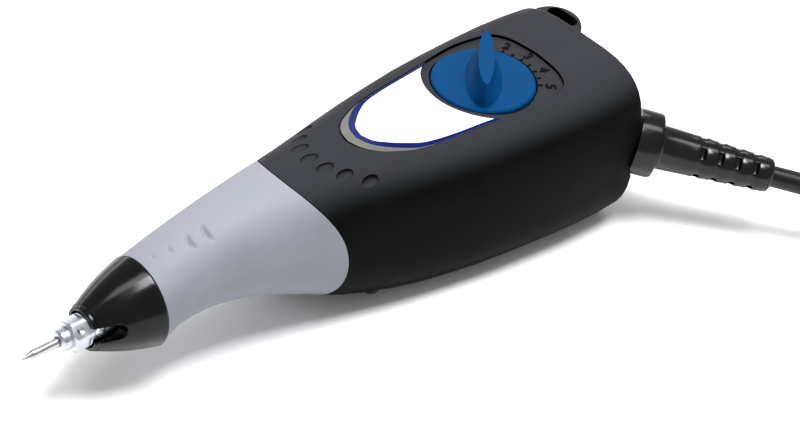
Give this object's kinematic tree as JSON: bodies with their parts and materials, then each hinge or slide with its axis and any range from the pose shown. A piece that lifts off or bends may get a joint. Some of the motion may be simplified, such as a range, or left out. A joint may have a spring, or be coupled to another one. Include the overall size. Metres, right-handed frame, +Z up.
{
  "type": "electric engraving pen",
  "caption": "Corded handheld engraver with a tapered two-tone body, soft grip, screw-on nose cone, carbide point in a chuck, and a finned stroke dial.",
  "frame": {"origin": "bottom centre of the pen's bounds without its cord, on the surface it lies on", "axes": "+X to the rear of the pen, +Y to the side away from the cord, +Z up. The nose axis is pitched 4.2 degrees nose down"},
  "size_m": [0.3737, 0.1086, 0.0547],
  "materials": {
    "black_nylon": "fine moulded texture",
    "gloss_black": "glossy",
    "grey_rubber": "soft matt",
    "blue_plastic": "satin",
    "white_film": "printed film",
    "zinc": "cast and machined",
    "carbide_steel": "ground",
    "steel": "plain",
    "spring_steel": "blued",
    "lamination_steel": "stacked sheets",
    "brass": "plain",
    "bronze": "sintered",
    "enamelled_copper": "enamelled wire",
    "bobbin_nylon": "natural",
    "black_rubber": "soft",
    "cord_vinyl": "smooth",
    "lead_vinyl": "smooth",
    "splice_nylon": "plain"
  },
  "bodies": {
    "housing": {"top_shell": "black_nylon", "bottom_cover": "black_nylon", "cover_screw_front_near": "steel", "cover_screw_front_far": "steel", "cover_screw_rear_near": "steel", "cover_screw_rear_far": "steel", "label_plate": "white_film", "grip_sleeve": "grey_rubber", "nose_cone": "gloss_black", "barrel": "black_nylon", "rod_bushing": "bronze", "spring_bracket": "zinc", "bracket_screw_near": "steel", "bracket_screw_far": "steel", "core_stack": "lamination_steel", "core_rivet_upper": "steel", "core_rivet_lower": "steel", "coil_bobbin": "bobbin_nylon", "coil_winding": "enamelled_copper", "strain_relief": "black_rubber", "cord_tail": "cord_vinyl", "line_lead_near": "lead_vinyl", "line_lead_far": "lead_vinyl", "splice_near": "splice_nylon", "splice_far": "splice_nylon", "coil_lead_near": "enamelled_copper", "coil_lead_far": "enamelled_copper", "cord": "cord_vinyl", "cord_coil": "cord_vinyl", "coil_tie": "black_nylon", "plug_body": "black_rubber", "plug_blade_left": "brass", "plug_blade_right": "brass"},
    "dial": {"stroke_dial": "blue_plastic", "dial_cam": "bobbin_nylon", "cam_screw": "steel"},
    "stop": {"stop_slider": "bobbin_nylon", "stop_bumper": "black_rubber"},
    "armature": {"armature": "steel", "leaf_spring": "spring_steel"},
    "hammer": {"drive_rod": "steel", "rod_nut_front": "brass", "rod_nut_rear": "brass", "chuck": "zinc"},
    "set_screw": {"chuck_set_screw": "steel"},
    "bit": {"bit": "carbide_steel"}
  },
  "joints": [
    {"name": "dial_turn", "type": "hinge", "parent": "housing", "child": "dial", "pos_m": [0.03597, 0.01244, 0.04695], "axis": [-0.0732, 0, 0.9973], "range_deg": [-85.9, 0]},
    {"name": "stop_slide", "type": "slide", "parent": "housing", "child": "stop", "axis": [0.9973, 0, 0.0732], "range_m": [0, 0.001]},
    {"name": "armature_swing", "type": "hinge", "parent": "housing", "child": "armature", "pos_m": [0.0004, 0.01244, 0.00634], "axis": [0, 1, 0], "range_deg": [-2.18, 2.18], "stiffness_Nm_per_rad": 2},
    {"name": "hammer_slide", "type": "slide", "parent": "housing", "child": "hammer", "axis": [0.9973, 0, 0.0732], "range_m": [-0.0008, 0.0008]},
    {"name": "set_screw_turn", "type": "hinge", "parent": "hammer", "child": "set_screw", "pos_m": [-0.08843, 0.01244, 0.02057], "axis": [-0.0177, -0.9703, 0.2413], "range_deg": [0, 720]},
    {"name": "bit_draw", "type": "slide", "parent": "hammer", "child": "bit", "axis": [-0.9973, 0, -0.0732], "range_m": [0, 0.0125]}
  ],
  "couplings": [
    {"joint": "stop_slide", "follows": "dial_turn", "m_per_rad": -0.00066667},
    {"joint": "hammer_slide", "follows": "armature_swing", "m_per_rad": 0.0207}
  ]
}
